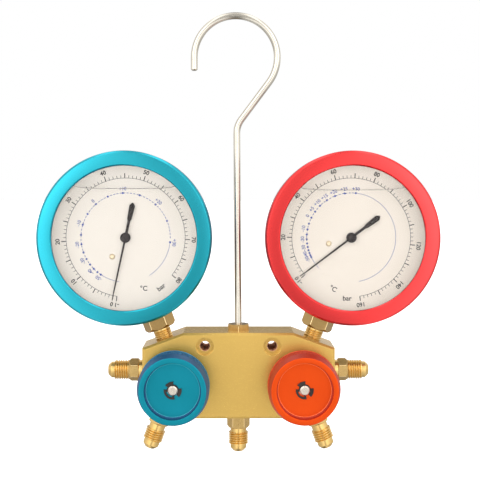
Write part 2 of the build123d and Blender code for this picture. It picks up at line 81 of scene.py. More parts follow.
def addCamera(setup):
    data = bpy.data.cameras.new("camera")
    data.lens = setup["lens"]
    data.sensor_width = setup["sensor"]
    data.shift_y = setup["lensShift"]
    data.clip_start = setup["nearest"] * mm
    camera = bpy.data.objects.new("camera", data)
    camera.location = Vector(setup["place"]) * mm
    camera.rotation_euler = (math.radians(90 - setup["down"]), 0, -math.radians(setup["right"]))
    scene.collection.objects.link(camera)
    scene.camera = camera


addCamera(cameraSetup)
scene.view_settings.view_transform = "Standard"
print("camera set")


# studio: surround and soft boxes

studio = {
    "floorBelow": 240.0,  # the set hangs this far above the floor
    "floorRadius": 30000.0,
    "floorThickness": 20.0,
    "floorSegments": 96,
    # brightness of the walls: straight ahead to full left or right, below to above, and front to back
    "sideways": [(0.0, 0.5), (0.07, 0.56), (0.17, 1.3), (0.27, 2.2), (0.4, 1.9), (0.6, 1.45), (1.0, 0.9)],
    "upward": [(0.0, 0.6), (0.3, 0.82), (0.42, 0.93), (0.47, 1.1), (0.53, 1.45), (0.65, 1.2), (0.85, 0.92),
               (1.0, 0.8)],
    "backward": [(0.0, 1.0), (0.5, 0.9), (0.8, 0.6), (1.0, 0.36)],
    "boxes": {
        # place and size
        "left_box": ((-1250, -1150, 900), 1000),
        "right_box": ((1250, -1150, 900), 1000),
        "top_box": ((0, -350, 1500), 1500),
        "back_box": ((0, 1500, 1200), 1400),
    },
    "power": 4.0,
    "aim": (0, -20, 40),
}


def addNode(tree, kind, settings=None, inputs=None):
    node = tree.nodes.new(kind)
    for key, value in (settings or {}).items():
        setattr(node, key, value)
    for key, value in (inputs or {}).items():
        node.inputs[key].default_value = value
    return node


def brightnessRamp(tree, value, stops):
    ramp = addNode(tree, "ShaderNodeValToRGB")
    elements = ramp.color_ramp.elements
    while len(elements) < len(stops):
        elements.new(0.5)
    for element, (place, level) in zip(elements, stops):
        element.position = place
        element.color = (level, level, level, 1)
    tree.links.new(value, ramp.inputs["Fac"])
    return ramp.outputs["Color"]


def addSurround(setup):
    world = bpy.data.worlds.new("surround")
    scene.world = world
    world.use_nodes = True
    tree = world.node_tree
    coords = addNode(tree, "ShaderNodeTexCoord")
    split = addNode(tree, "ShaderNodeSeparateXYZ")
    tree.links.new(coords.outputs["Generated"], split.inputs[0])
    sideways = addNode(tree, "ShaderNodeMath", {"operation": "ABSOLUTE"})
    tree.links.new(split.outputs["X"], sideways.inputs[0])
    shade = brightnessRamp(tree, sideways.outputs[0], setup["sideways"])
    for axis, key in (("Z", "upward"), ("Y", "backward")):
        # a direction from -1 to 1 becomes a place on the ramp from 0 to 1
        place = addNode(tree, "ShaderNodeMath", {"operation": "MULTIPLY_ADD"}, {1: 0.5, 2: 0.5})
        tree.links.new(split.outputs[axis], place.inputs[0])
        multiply = {"data_type": "RGBA", "blend_type": "MULTIPLY"}
        product = addNode(tree, "ShaderNodeMix", multiply, {"Factor": 1.0})
        tree.links.new(shade, product.inputs["A"])
        tree.links.new(brightnessRamp(tree, place.outputs[0], setup[key]), product.inputs["B"])
        shade = product.outputs["Result"]
    # what the lens sees behind the set is plain white
    path = addNode(tree, "ShaderNodeLightPath")
    seen = addNode(tree, "ShaderNodeMix", {"data_type": "RGBA"}, {"B": (1.0, 1.0, 1.0, 1.0)})
    tree.links.new(path.outputs["Is Camera Ray"], seen.inputs["Factor"])
    tree.links.new(shade, seen.inputs["A"])
    tree.links.new(seen.outputs["Result"], tree.nodes["Background"].inputs["Color"])


def addSoftBoxes(setup):
    aim = Vector(setup["aim"]) * mm
    for name, (place, size) in setup["boxes"].items():
        data = bpy.data.lights.new(name, "AREA")
        data.shape = "SQUARE"
        data.size = size * mm
        data.energy = setup["power"]
        lamp = bpy.data.objects.new(name, data)
        lamp.location = Vector(place) * mm
        lamp.rotation_euler = (aim - lamp.location).to_track_quat("-Z", "Y").to_euler()
        scene.collection.objects.link(lamp)


addSurround(studio)
addSoftBoxes(studio)
print("studio lit")


# finishes

# light and dark are the two shades that patches of noise run between, rough the same for the fine grain;
# patch and grain are noise scales, bump and depth the grain's relief, edge the radius of softened edges
plainLook = {"patch": 60, "grain": 1500, "bump": 0.1, "depth": 0.03}
noise = {"detail": 3.0, "low": 0.3, "high": 0.7}  # where the noise reaches one shade and the other
edgeSamples = 6
shaderInputs = {
    "metallic": "Metallic",
    "coat": "Coat Weight",
    "coatRough": "Coat Roughness",
    "specular": "Specular IOR Level",
    "glow": "Emission Strength",
    "paintedGlowColour": "Emission Color",
}


def grain(tree, coords, scale, detail, stretch=None):
    if stretch:
        mapping = addNode(tree, "ShaderNodeMapping", {}, {"Scale": stretch})
        tree.links.new(coords, mapping.inputs["Vector"])
        coords = mapping.outputs["Vector"]
    texture = addNode(tree, "ShaderNodeTexNoise", {}, {"Scale": scale, "Detail": detail})
    tree.links.new(coords, texture.inputs["Vector"])
    return texture.outputs["Fac"]


def blendColours(tree, value, dark, light):
    ramp = addNode(tree, "ShaderNodeValToRGB")
    first, last = ramp.color_ramp.elements
    first.position, first.color = noise["low"], (*dark, 1)
    last.position, last.color = noise["high"], (*light, 1)
    tree.links.new(value, ramp.inputs["Fac"])
    return ramp.outputs["Color"]


def spread(tree, value, low, high):
    span = addNode(tree, "ShaderNodeMapRange", {}, {
        "To Min": low, "To Max": high, "From Min": noise["low"], "From Max": noise["high"]})
    tree.links.new(value, span.inputs["Value"])
    return span.outputs["Result"]


def relief(tree, height, strength, depth, normal=None):
    bump = addNode(tree, "ShaderNodeBump", {}, {"Strength": strength, "Distance": depth * mm})
    tree.links.new(height, bump.inputs["Height"])
    if normal:
        tree.links.new(normal, bump.inputs["Normal"])
    return bump.outputs["Normal"]


def darkHoles(tree, shader, coords, holes):
    # a pair of bores, left and right of the middle, are raw and dull instead of anodised, and their brown is
    # painted shade
    split = addNode(tree, "ShaderNodeSeparateXYZ")
    tree.links.new(coords, split.inputs[0])
    beside = addNode(tree, "ShaderNodeMath", {"operation": "ABSOLUTE"})
    tree.links.new(split.outputs["X"], beside.inputs[0])
    flat = addNode(tree, "ShaderNodeCombineXYZ")
    tree.links.new(beside.outputs[0], flat.inputs["X"])
    tree.links.new(split.outputs["Z"], flat.inputs["Z"])
    away = addNode(tree, "ShaderNodeVectorMath", {"operation": "DISTANCE"}, {1: (holes["beside"] * mm, 0, 0)})
    tree.links.new(flat.outputs[0], away.inputs[0])
    inside = addNode(tree, "ShaderNodeMath", {"operation": "LESS_THAN"}, {1: holes["radius"] * mm})
    tree.links.new(away.outputs["Value"], inside.inputs[0])
    for name, kind, value in (("Base Color", "RGBA", (*holes["colour"], 1)),
                              ("Roughness", "FLOAT", holes["rough"]),
                              ("Metallic", "FLOAT", holes["metallic"])):
        target = shader.inputs[name]
        mix = addNode(tree, "ShaderNodeMix", {"data_type": kind}, {"B": value})
        tree.links.new(inside.outputs[0], mix.inputs["Factor"])
        if target.is_linked:
            tree.links.new(target.links[0].from_socket, mix.inputs["A"])
        else:
            mix.inputs["A"].default_value = target.default_value
        tree.links.new(mix.outputs["Result"], target)


def newMaterial(name):
    material = bpy.data.materials.new(name)
    material.use_nodes = True
    tree = material.node_tree
    coords = addNode(tree, "ShaderNodeTexCoord").outputs["Object"]
    return material, tree, tree.nodes["Principled BSDF"], coords


def finish(name, own):
    look = {**plainLook, **own}
    material, tree, shader, coords = newMaterial(name)
    patches = grain(tree, coords, look["patch"], noise["detail"])
    fine = grain(tree, coords, look["grain"], noise["detail"], look.get("stretch"))
    tree.links.new(blendColours(tree, patches, look["dark"], look["light"]), shader.inputs["Base Color"])
    tree.links.new(spread(tree, fine, *look["rough"]), shader.inputs["Roughness"])
    normal = None
    if "edge" in look:
        bevel = addNode(tree, "ShaderNodeBevel", {"samples": edgeSamples}, {"Radius": look["edge"] * mm})
        normal = bevel.outputs["Normal"]
    tree.links.new(relief(tree, fine, look["bump"], look["depth"], normal), shader.inputs["Normal"])
    for key, socketName in shaderInputs.items():
        if key in look:
            shader.inputs[socketName].default_value = look[key]
    if "holes" in look:
        darkHoles(tree, shader, coords, look["holes"])
    return material


# what several looks share
# the knobs' side looks are darker copies of their colour, painted shade on walls and knurl; their crest and
# edge looks are paler copies, painted highlights
knobFace = {"rough": (0.36, 0.46), "metallic": 1, "grain": 2600, "depth": 0.02}
knobSide = {**knobFace, "rough": (0.48, 0.56), "metallic": 0.35}
knobCrest = {"rough": (0.3, 0.4), "metallic": 0.6, "grain": 2600}
knobEdge = {**knobCrest, "metallic": 0.4}
# the bezels' side looks are darker copies of their colour, painted shade on the walls
bezelSide = {"rough": (0.3, 0.4), "metallic": 0.8, "grain": 2600, "bump": 0.08, "depth": 0.02, "patch": 40}
bezelFace = {**bezelSide, "rough": (0.2, 0.26), "metallic": 1, "coat": 0.3, "coatRough": 0.2}
hexSide = {"bump": 0.02, "depth": 0.02, "patch": 220}
# the dials glow a little, a painted glow that brightens them and lifts the shade near their rim
dialFace = {"rough": (0.38, 0.5), "grain": 1800, "bump": 0.04, "glow": 0.23}
ink = {"rough": (0.5, 0.6), "grain": 2000, "bump": 0.02, "specular": 0.2}

looks = {
    "block_gold": {
        "light": (0.68, 0.444, 0.113), "dark": (0.65, 0.423, 0.105), "rough": (0.22, 0.28), "metallic": 0.6,
        "specular": 0.3, "grain": 2600, "bump": 0.08, "depth": 0.02, "edge": 0.3, "patch": 30,
        # the bores' brown is painted shade
        "holes": {"beside": 19.0, "radius": 3.0, "colour": (0.6, 0.34, 0.2), "rough": 0.9, "metallic": 0},
    },
    "brass": {
        "light": (0.72, 0.48, 0.19), "dark": (0.6, 0.38, 0.13), "rough": (0.2, 0.32), "metallic": 1,
        "grain": 1800, "bump": 0.08, "edge": 0.2, "patch": 180,
    },
    "brass_inner": {
        "light": (0.7, 0.47, 0.2), "dark": (0.58, 0.37, 0.14), "rough": (0.25, 0.4), "metallic": 1,
        "edge": 0.08,
    },
    "hook_steel": {
        "light": (0.66, 0.615, 0.53), "dark": (0.57, 0.53, 0.455), "rough": (0.14, 0.22), "metallic": 1,
        "grain": 900, "stretch": (6.0, 6.0, 0.25), "bump": 0.12, "depth": 0.02, "patch": 90,
    },
    "stem_steel": {
        "light": (0.78, 0.7, 0.6), "dark": (0.7, 0.62, 0.53), "rough": (0.24, 0.34), "metallic": 1,
        "grain": 2000, "bump": 0.03, "edge": 0.15,
    },
    "spring_steel": {
        "light": (0.06, 0.05, 0.046), "dark": (0.035, 0.03, 0.028), "rough": (0.3, 0.5), "metallic": 0.9,
        "grain": 2500, "edge": 0.1,
    },
    "knob_teal": {**knobFace, "light": (0.011, 0.245, 0.325), "dark": (0.009, 0.222, 0.29)},
    "knob_orange": {**knobFace, "light": (0.75, 0.078, 0.011), "dark": (0.7, 0.07, 0.01)},
    "teal_side": {**knobSide, "light": (0.01, 0.085, 0.2), "dark": (0.008, 0.072, 0.165)},
    "orange_side": {**knobSide, "light": (0.44, 0.032, 0.01), "dark": (0.39, 0.027, 0.009)},
    "teal_crest": {**knobCrest, "light": (0.03, 0.26, 0.44), "dark": (0.025, 0.23, 0.4)},
    "orange_crest": {**knobCrest, "light": (0.85, 0.1, 0.03), "dark": (0.8, 0.09, 0.025)},
    "teal_edge": {**knobEdge, "light": (0.03, 0.37, 0.43), "dark": (0.028, 0.345, 0.4)},
    "orange_edge": {**knobEdge, "light": (0.95, 0.16, 0.035), "dark": (0.92, 0.15, 0.03)},
    "blue_side": {**bezelSide, "light": (0.008, 0.12, 0.23), "dark": (0.007, 0.11, 0.21)},
    "red_side": {**bezelSide, "light": (0.42, 0.012, 0.03), "dark": (0.38, 0.01, 0.027)},
    "bezel_blue": {**bezelFace, "light": (0.018, 0.4, 0.495), "dark": (0.016, 0.38, 0.47)},
    "bezel_red": {**bezelFace, "light": (0.9, 0.052, 0.052), "dark": (0.87, 0.048, 0.048)},
    "case_steel": {
        "light": (0.62, 0.61, 0.6), "dark": (0.56, 0.55, 0.54), "rough": (0.26, 0.34), "metallic": 1,
        "grain": 500, "stretch": (1.0, 14.0, 1.0), "bump": 0.05, "depth": 0.02, "patch": 30,
    },
    # the gaskets' glow is painted light that lifts the shade on the dial's rim
    "gasket_pale": {
        "light": (0.82, 0.8, 0.77), "dark": (0.78, 0.76, 0.73), "rough": (0.5, 0.6), "bump": 0.05,
        "glow": 0.25,
    },
    "dial_white": {
        **dialFace, "light": (0.52, 0.485, 0.44), "dark": (0.51, 0.475, 0.43),
        "paintedGlowColour": (1.0, 0.93, 0.84, 1.0),
    },
    "dial_cream": {
        **dialFace, "light": (0.52, 0.475, 0.42), "dark": (0.51, 0.465, 0.41),
        "paintedGlowColour": (1.0, 0.89, 0.78, 1.0),
    },
    "pointer_black": {
        "light": (0.036, 0.029, 0.028), "dark": (0.026, 0.021, 0.02), "rough": (0.6, 0.75), "grain": 2400,
        "bump": 0.03, "specular": 0.12,
    },
    "rubber": {
        "light": (0.03, 0.03, 0.031), "dark": (0.018, 0.018, 0.019), "rough": (0.6, 0.8), "grain": 1800,
        "bump": 0.25, "depth": 0.05, "edge": 0.2,
    },
    "seat_plastic": {
        "light": (0.86, 0.85, 0.82), "dark": (0.78, 0.77, 0.74), "rough": (0.4, 0.55), "grain": 1200,
    },
    "turned_brass": {
        "light": (0.78, 0.53, 0.19), "dark": (0.7, 0.46, 0.155), "rough": (0.26, 0.33), "metallic": 1,
        "coat": 0.2, "coatRough": 0.15, "grain": 1800, "bump": 0.04, "depth": 0.02, "patch": 200,
    },
    # the hexagons' flats are darker copies of the brass, painted shade, and their corners a paler copy,
    # painted highlight
    "hex_brass": {
        **hexSide, "light": (0.5, 0.325, 0.125), "dark": (0.45, 0.285, 0.105), "rough": (0.18, 0.25),
        "metallic": 1,
    },
    "port_brass": {
        **hexSide, "light": (0.6, 0.41, 0.155), "dark": (0.54, 0.36, 0.13), "rough": (0.26, 0.33),
        "metallic": 0.85,
    },
    "worn_brass": {
        "light": (0.96, 0.74, 0.4), "dark": (0.92, 0.7, 0.36), "rough": (0.3, 0.4), "metallic": 0.8,
        "bump": 0.02,
    },
    "screw_brass": {
        "light": (0.86, 0.72, 0.5), "dark": (0.74, 0.6, 0.4), "rough": (0.4, 0.5), "metallic": 0.6,
        "patch": 220,
    },
    "scale_ink": {**ink, "light": (0.02, 0.018, 0.018), "dark": (0.012, 0.011, 0.011)},
    "blue_ink": {**ink, "light": (0.035, 0.07, 0.33), "dark": (0.027, 0.058, 0.28)},
    "floor_pale": {
        "light": (0.93, 0.93, 0.93), "dark": (0.9, 0.9, 0.9), "rough": (0.6, 0.75), "grain": 60,
        "bump": 0.05, "patch": 2, "glow": 0.6,
    },
}
finishes = {name: finish(name, look) for name, look in looks.items()}

clearLooks = {
    "window_glass": {"colour": (1.0, 1.0, 1.0), "bend": 1.15},
    "clear_liquid": {"colour": (0.995, 0.99, 0.98), "bend": 1.24},
}
haze = {"grain": 40.0, "detail": 2.0, "rough": (0.0, 0.012), "specular": 0.15}  # little reflection


def clearFinish(name, look):
    material, tree, shader, coords = newMaterial(name)
    fine = grain(tree, coords, haze["grain"], haze["detail"])
    tree.links.new(spread(tree, fine, *haze["rough"]), shader.inputs["Roughness"])
    shader.inputs["Base Color"].default_value = (*look["colour"], 1)
    shader.inputs["Transmission Weight"].default_value = 1.0
    shader.inputs["IOR"].default_value = look["bend"]
    shader.inputs["Specular IOR Level"].default_value = haze["specular"]
    return material


finishes.update({name: clearFinish(name, look) for name, look in clearLooks.items()})

# these few look other than their slot says
otherLooks = {
    "low_gauge_window_gasket": "gasket_pale",
    "high_gauge_window_gasket": "gasket_pale",
    "high_gauge_dial": "dial_cream",
}
for part in frame["record"]["subparts"]:
    node = frame["nodes"][part["node"]]
    node.data.materials.clear()
    node.data.materials.append(finishes[otherLooks.get(part["node"], part["material_slot"])])
print("finishes mixed")


# mesh tools

def rounded(points, steps=5, closed=False):
    # corners are (radius, height) or (radius, height, fillet)
    line = []
    for number, corner in enumerate(points):
        here = Vector(corner[:2])
        fillet = corner[2] if len(corner) > 2 else 0
        if not fillet or (not closed and number in (0, len(points) - 1)):
            line.append(tuple(here))
            continue
        before = (Vector(points[number - 1][:2]) - here).normalized()
        after = (Vector(points[(number + 1) % len(points)][:2]) - here).normalized()
        half = before.angle(after) / 2
        centre = here + (before + after).normalized() * fillet / math.sin(half)
        start = here + before * fillet / math.tan(half) - centre
        end = here + after * fillet / math.tan(half) - centre
        first = math.atan2(start.y, start.x)
        sweep = (math.atan2(end.y, end.x) - first + math.pi) % (2 * math.pi) - math.pi
        for step in range(steps + 1):
            angle = first + sweep * step / steps
            line.append((centre.x + fillet * math.cos(angle), centre.y + fillet * math.sin(angle)))
    return line


def evenly(low, high, step):
    count = max(1, round((high - low) / step))
    return [low + (high - low) * n / count for n in range(count + 1)]


def lathe(profile, segments, closed=False, shape=None):
    # turns (radius, height) points about Z; shape(radius, height, angle) may change the radius
    mesh = bmesh.new()
    rings = []
    for radius, height in profile:
        if radius <= 0:
            rings.append([mesh.verts.new((0, 0, height * mm))])
            continue
        ring = []
        for step in range(segments):
            angle = 2 * math.pi * step / segments
            reach = shape(radius, height, angle) if shape else radius
            x = reach * math.cos(angle) * mm
            y = reach * math.sin(angle) * mm
            ring.append(mesh.verts.new((x, y, height * mm)))
        rings.append(ring)
    pairs = list(zip(rings, rings[1:]))
    if closed:
        pairs.append((rings[-1], rings[0]))
    for low, high in pairs:
        for step in range(segments):
            after = (step + 1) % segments
            corners = [low[step % len(low)], low[after % len(low)],
                       high[after % len(high)], high[step % len(high)]]
            corners = list(dict.fromkeys(corners))  # a ring on the axis is one point, so these are triangles
            if len(corners) > 2:
                mesh.faces.new(corners)
    bmesh.ops.recalc_face_normals(mesh, faces=mesh.faces)
    return mesh


def prism(outline, low, high):
    # closed solid from a flat outline of (x, y) points, between two heights
    mesh = bmesh.new()
    bottom = [mesh.verts.new((x * mm, y * mm, low * mm)) for x, y in outline]
    top = [mesh.verts.new((x * mm, y * mm, high * mm)) for x, y in outline]
    mesh.faces.new(list(reversed(bottom)))
    mesh.faces.new(top)
    for number in range(len(outline)):
        after = (number + 1) % len(outline)
        mesh.faces.new([bottom[number], bottom[after], top[after], top[number]])
    bmesh.ops.recalc_face_normals(mesh, faces=mesh.faces)
    return mesh


sharpAngle = 32.0  # edges that turn more than this stay sharp


def joined(first, *others):
    for other in others:
        data = bpy.data.meshes.new("join")
        other.to_mesh(data)
        other.free()
        first.from_mesh(data)
        bpy.data.meshes.remove(data)
    return first


def addPiece(name, mesh, materials, place=None, sharp=sharpAngle):
    data = bpy.data.meshes.new(name)
    mesh.to_mesh(data)
    mesh.free()
    for material in materials.split():
        data.materials.append(finishes[material])
    data.shade_smooth()
    data.set_sharp_from_angle(angle=math.radians(sharp))
    piece = bpy.data.objects.new(name, data)
    if place:
        piece.matrix_world = place
    scene.collection.objects.link(piece)
    return piece


def mounted(piece, body, slot, *replaced):
    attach(piece, body)
    if replaced:
        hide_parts(*replaced)


def bakeModifiers(piece, modifiers):
    for kind, settings in modifiers:
        modifier = piece.modifiers.new(kind.lower(), kind)
        for key, value in settings.items():
            setattr(modifier, key, value)
    shown = piece.evaluated_get(bpy.context.evaluated_depsgraph_get())
    data = bpy.data.meshes.new_from_object(shown)
    piece.modifiers.clear()
    piece.data = data


hexagon = {
    "spare": 1.0,  # the bar runs past both ends until they are coned
    "clear": 0.05,  # the cones start this far outside the corners
    "faceInset": 0.15,  # a coned end's flat stays this far inside the hexagon
    "leastCone": 0.01,
    "coneSegments": 144,
    "softSegments": 4,
    "softAngle": 35.0,
    "upright": 0.3,  # side faces point less up or down than this
    "flatSpread": 6.0,  # and a flat's normals lie within this angle of its middle
}


def hexMesh(size):
    # hexagon with coned ends; the flats have a piece's second finish, a darker brass that paints shade on
    # them, and the corners its third, a pale brass that paints a highlight along them
    corner = size["flats"] / math.sqrt(3)
    turns = [math.radians(60 * n + size["turn"]) for n in range(6)]
    outline = [(corner * math.cos(turn), corner * math.sin(turn)) for turn in turns]
    spare = hexagon["spare"]
    bar = addPiece("hex_bar", prism(outline, size["low"] - spare, size["high"] + spare), "hex_brass")
    outside = corner + hexagon["clear"]
    ends = []
    for height, cone, inward in ((size["low"], size["cones"][0], 1), (size["high"], size["cones"][1], -1)):
        inside = size["flats"] / 2 - hexagon["faceInset"] if cone else outside
        end = [(0, height), (inside, height), (outside, height + inward * max(cone, hexagon["leastCone"]))]
        ends += end if inward == 1 else reversed(end)
    envelope = addPiece("hex_cone", lathe(ends, hexagon["coneSegments"]), "hex_brass")
    bakeModifiers(bar, [
        ("BEVEL", {"width": size["soft"] * mm, "segments": hexagon["softSegments"],
                   "angle_limit": math.radians(hexagon["softAngle"])}),
        ("BOOLEAN", {"operation": "INTERSECT", "object": envelope, "solver": "EXACT"}),
    ])
    mesh = bmesh.new()
    mesh.from_mesh(bar.data)
    for face in mesh.faces:
        around = (math.degrees(math.atan2(face.normal.y, face.normal.x)) - size["turn"]) % 60
        # corners away from the middle of a flat take the pale brass, a painted highlight
        glinting = abs(face.normal.z) < hexagon["upright"] and abs(around - 30) > hexagon["flatSpread"]
        face.material_index = 2 if glinting else 1
    for piece in (bar, envelope):
        bpy.data.objects.remove(piece)
    return mesh


def threadShape(start, end, size):
    # helical thread with a rounded groove that fades in and out at both ends
    def shape(radius, height, angle):
        if not start <= height <= end:
            return radius
        phase = ((height - start) / size["pitch"] - angle / (2 * math.pi)) % 1.0
        depth = size["threadDepth"] * (0.5 + 0.5 * math.cos(2 * math.pi * phase)) ** size["grooveSharpness"]
        fade = min(1.0, (height - start) / size["fade"], (end - height) / size["fade"])
        return radius - depth * max(0.0, fade)
    return shape


print("tools ready")


# floor

def addFloor(setup):
    low = cadBox[0].z / mm - setup["floorBelow"]
    radius = setup["floorRadius"]
    depth = -setup["floorThickness"]
    mesh = lathe([(0, 0), (radius, 0), (radius, depth), (0, depth)], setup["floorSegments"])
    floor = addPiece("floor", mesh, "floor_pale", Matrix.Translation((0, 0, low * mm)))
    floor.visible_glossy = False


addFloor(studio)
print("floor laid")


# places, read from the frame

blockLow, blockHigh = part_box("manifold_block")
middleY = (blockLow.y + blockHigh.y) / 2
slant = 20.0  # of the block's cut corners, and of the gauges that stand on them
facing = Matrix.Rotation(math.radians(-90), 4, "X")  # local Z runs back from the front
reading = Matrix.Rotation(math.radians(90), 4, "X")  # local Z runs forward, towards the reader


def boxCentre(node):
    low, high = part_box(node)
    return (low + high) / 2


def frontPlace(node):
    centre = boxCentre(node)
    return Matrix.Translation((centre.x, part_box(node)[0].y, centre.z)) @ facing


def axisPlace(origin, direction, turn):
    # local Z along the direction, local X kept level with the block's front
    spin = Vector(direction).to_track_quat("Z", "X").to_matrix().to_4x4()
    return Matrix.Translation(origin) @ spin @ Matrix.Rotation(math.radians(turn), 4, "Z")


# flare ports

port = {
    "flats": 11.5,
    "hexSoft": 0.28,
    "collarRadius": 5.55,
    "collarLap": 0.3,  # the collar reaches this far into the hexagon
    "collarFillet": 0.2,
    "shankRadius": 4.8,
    "shank": 8.0,  # length inside the block
    "noseRadius": 4.63,
    "noseFillet": 0.6,
    "tipRadius": 2.75,
    "tipLip": 0.1,
    "tipFillet": 0.15,
    "boreRadius": 2.4,
    "boreStart": 0.4,
    "threadRadius": 5.58,
    "threadDepth": 0.78,
    "pitch": 1.3,
    "grooveSharpness": 1.5,
    "fade": 0.55,
    "threadEnds": 0.05,
    "threadStep": 0.11,
    "step": 0.01,  # almost square steps to and from the thread
    "segments": 120,
    "levelHalf": 31.0,  # half the width of the block's level underside
}
portRuns = {
    # lengths outward from the block: collar, hexagon, neck, thread, nose
    "side": {"lengths": (2.7, 5.6, 0.3, 7.9, 4.0), "cones": (0.6, 1.2), "turn": 0.0},
    "low": {"lengths": (2.5, 8.0, 3.6, 6.1, 5.1), "cones": (0.6, 1.2), "turn": 30.0},
    "centre": {"lengths": (0.0, 7.9, 2.7, 6.4, 4.5), "cones": (0.0, 1.2), "turn": 30.0},
}


def portPlaces():
    width = (blockHigh.x - blockLow.x) / 2
    flat = port["levelHalf"] * mm
    lean = math.radians(slant)
    lowMiddle = (width + flat) / 2
    lowZ = blockLow.z + (width - flat) * math.tan(lean) / 2
    sideZ = boxCentre("left_side_port").z
    return {
        "left_side_port": ("side", (-width, middleY, sideZ), (-1, 0, 0)),
        "right_side_port": ("side", (width, middleY, sideZ), (1, 0, 0)),
        "left_lower_port": ("low", (-lowMiddle, middleY, lowZ), (-math.sin(lean), 0, -math.cos(lean))),
        "right_lower_port": ("low", (lowMiddle, middleY, lowZ), (math.sin(lean), 0, -math.cos(lean))),
        "centre_port": ("centre", (0, middleY, blockLow.z), (0, 0, -1)),
    }


def portMesh(run):
    collar, hexLength, neck, thread, nose = run["lengths"]
    hexEnd = collar + hexLength
    start = hexEnd + neck
    end = start + thread
    tip = end + nose
    cone = port["noseRadius"] - port["tipRadius"]  # as long as it is deep: 45 degrees
    collarEnd = collar + port["collarLap"]
    heights = evenly(start + port["threadEnds"], end - port["threadEnds"], port["threadStep"])
    profile = rounded([
        (port["boreRadius"], -port["shank"]), (port["shankRadius"], -port["shank"]), (port["shankRadius"], 0),
    ])
    profile += rounded([
        (port["collarRadius"], 0), (port["collarRadius"], collarEnd, port["collarFillet"]),
        (port["noseRadius"], collarEnd),
    ])
    profile += [(port["noseRadius"], start - port["step"])]
    profile += [(port["threadRadius"], height) for height in (start, *heights, end)]
    profile += rounded([
        (port["noseRadius"], end + port["step"]), (port["noseRadius"], tip - cone, port["noseFillet"]),
        (port["tipRadius"] + port["tipLip"], tip, port["tipFillet"]), (port["boreRadius"], tip),
    ])
    profile += [(port["boreRadius"], tip - port["boreStart"]), (port["boreRadius"], 0)]
    body = lathe(profile, port["segments"], closed=True, shape=threadShape(start, end, port))
    size = {"flats": port["flats"], "low": collar, "high": hexEnd, "turn": 0, "cones": run["cones"],
            "soft": port["hexSoft"]}
    return joined(body, hexMesh(size))


for name, (kind, origin, direction) in portPlaces().items():
    piece = addPiece(name + "_turned", portMesh(portRuns[kind]), "turned_brass port_brass worn_brass",
                     axisPlace(origin, direction, portRuns[kind]["turn"]))
    mounted(piece, "manifold", "brass", name)
print("ports threaded")


# hand wheels

wheel = {
    # corners as (radius, depth, fillet): bore, recess floor and wall, front ring, cone
    "front": [(3.05, 15.5), (3.05, 4.5), (14.55, 4.5, 0.35), (15.36, 3.75, 0.3), (15.36, 0.0, 0.35),
              (18.4, 0.0, 0.5), (19.65, 6.0, 0.1)],
    "bandFront": 6.4,  # the knurled band starts here
    "bandBack": 1.0,  # and ends this far from the back
    "backFillet": 0.7,
    "hollow": [(15.0, 0.0, 0.4), (15.0, 7.0, 0.8), (8.0, 7.0, 0.8)],  # depths from the back
    "hub": [(8.0, 15.5, 0.4), (3.05, 15.5)],
    "frontSteps": 6,
    "backSteps": 4,
    "segments": 640,
    "sharp": 40.0,
}
knurl = {
    "pitch": 1.45,
    "stretch": 1.3,  # the diamonds are this much wider than the pitch
    "height": 0.55,
    "fade": 0.5,
    "ends": 0.05,
    "step": 0.2,
}
wheelShades = {
    # faces painted brighter or darker than the turned front, as painted highlights and painted shade, as
    # ranges of radius and depth
    "edgeRadius": (14.15, 15.36),
    "edgeDepth": (4.2, 4.5),
    "wallDepth": (0.5, 4.5),
    "outside": 18.3,
    "steep": 0.8,  # walls point less to the front than this
    "crest": 0.35,  # top share of the knurl
}


def knurlShape(bandRadius, low, high):
    turns = round(2 * math.pi * bandRadius / knurl["pitch"] / knurl["stretch"])
    rise = 2 * math.pi * bandRadius / turns

    def shape(radius, height, angle):
        if not low < height < high:
            return radius
        around = angle / (2 * math.pi) * turns
        along = (height - low) / rise
        first = abs(((around + along) % 1.0) - 0.5) * 2
        second = abs(((around - along) % 1.0) - 0.5) * 2
        edge = min(1.0, (height - low) / knurl["fade"], (high - height) / knurl["fade"])
        return radius - knurl["height"] * edge * max(first, second)
    return shape


def shadeWheel(mesh, radius, bandLow, bandHigh):
    # finishes by number: 0 turned front, 1 walls and knurl in a darker copy that paints shade, 2 edge of the
    # recess floor and 3 crests of the knurl in paler copies that paint highlights
    inner, outer = wheelShades["edgeRadius"]
    edgeLow, edgeHigh = wheelShades["edgeDepth"]
    wallLow, wallHigh = wheelShades["wallDepth"]
    for face in mesh.faces:
        middle = face.calc_center_median() / mm
        reach = math.hypot(middle.x, middle.y)
        if inner < reach < outer and edgeLow < middle.z < edgeHigh:
            face.material_index = 2
        elif bandLow < middle.z < bandHigh and reach > radius - wheelShades["crest"] * knurl["height"]:
            face.material_index = 3
        elif abs(face.normal.z) < wheelShades["steep"]:
            if reach > wheelShades["outside"] or wallLow < middle.z < wallHigh:
                face.material_index = 1


